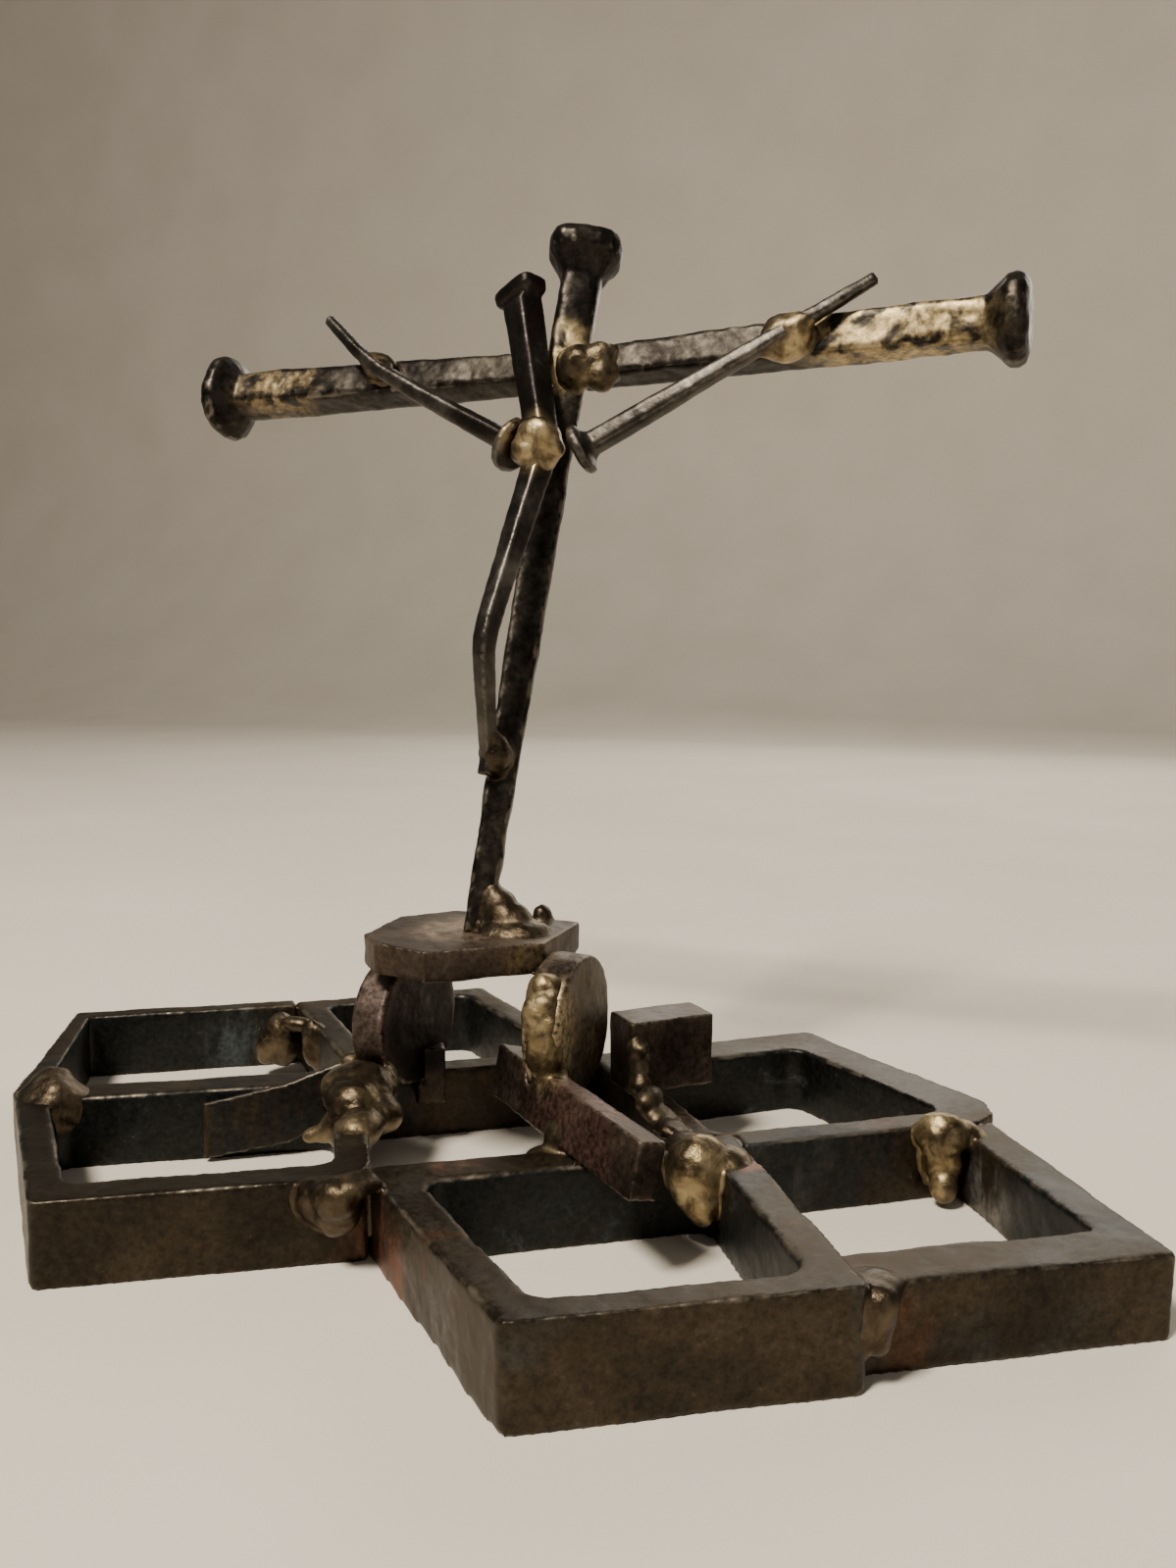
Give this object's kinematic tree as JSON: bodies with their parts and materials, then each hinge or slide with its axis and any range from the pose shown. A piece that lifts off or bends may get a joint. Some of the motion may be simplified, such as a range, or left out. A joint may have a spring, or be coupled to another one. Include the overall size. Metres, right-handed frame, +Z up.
{
  "type": "crucifix",
  "caption": "Table-top crucifix of square-headed spikes and nails brazed upright on an open base of square tube slices; stands on a flat surface.",
  "frame": {"origin": "middle of the bounding box's underside, on the surface the base stands on", "axes": "+Z up, +X along the crossbar to a viewer's right, the figure faces -Y"},
  "size_m": [0.2448, 0.1536, 0.1959],
  "materials": {
    "slice": "dark mill scale on sawn square tube, worn bright at the edges",
    "scrap": "rusty brown, flame-marked flat stock",
    "spike": "hammered, dark, satin",
    "nail": "dark worn steel",
    "braze": "poured brass braze with soot"
  },
  "bodies": {
    "root": {"back_slice": "slice", "blade": "slice", "braze_ankle": "braze", "braze_back_blob": "braze", "braze_bar": "braze", "braze_block": "braze", "braze_crossing": "braze", "braze_foot": "braze", "braze_front_joint": "braze", "braze_inner_corner": "braze", "braze_left_corner": "braze", "braze_left_front": "braze", "braze_left_hand": "braze", "braze_right_corner": "braze", "braze_right_hand": "braze", "braze_shoulders": "braze", "braze_under_left_disc": "braze", "crossbar_left_spike": "spike", "crossbar_right_spike": "spike", "figure_body_nail": "nail", "figure_left_arm_nail": "nail", "figure_right_arm_nail": "nail", "foot_plate": "scrap", "front_angle": "slice", "front_slice": "slice", "leaning_bar": "scrap", "left_disc": "scrap", "left_slice": "slice", "rear_angle": "slice", "right_disc": "scrap", "right_slice": "slice", "standing_block": "scrap", "stub": "scrap", "upright_spike": "spike"}
  },
  "joints": []
}
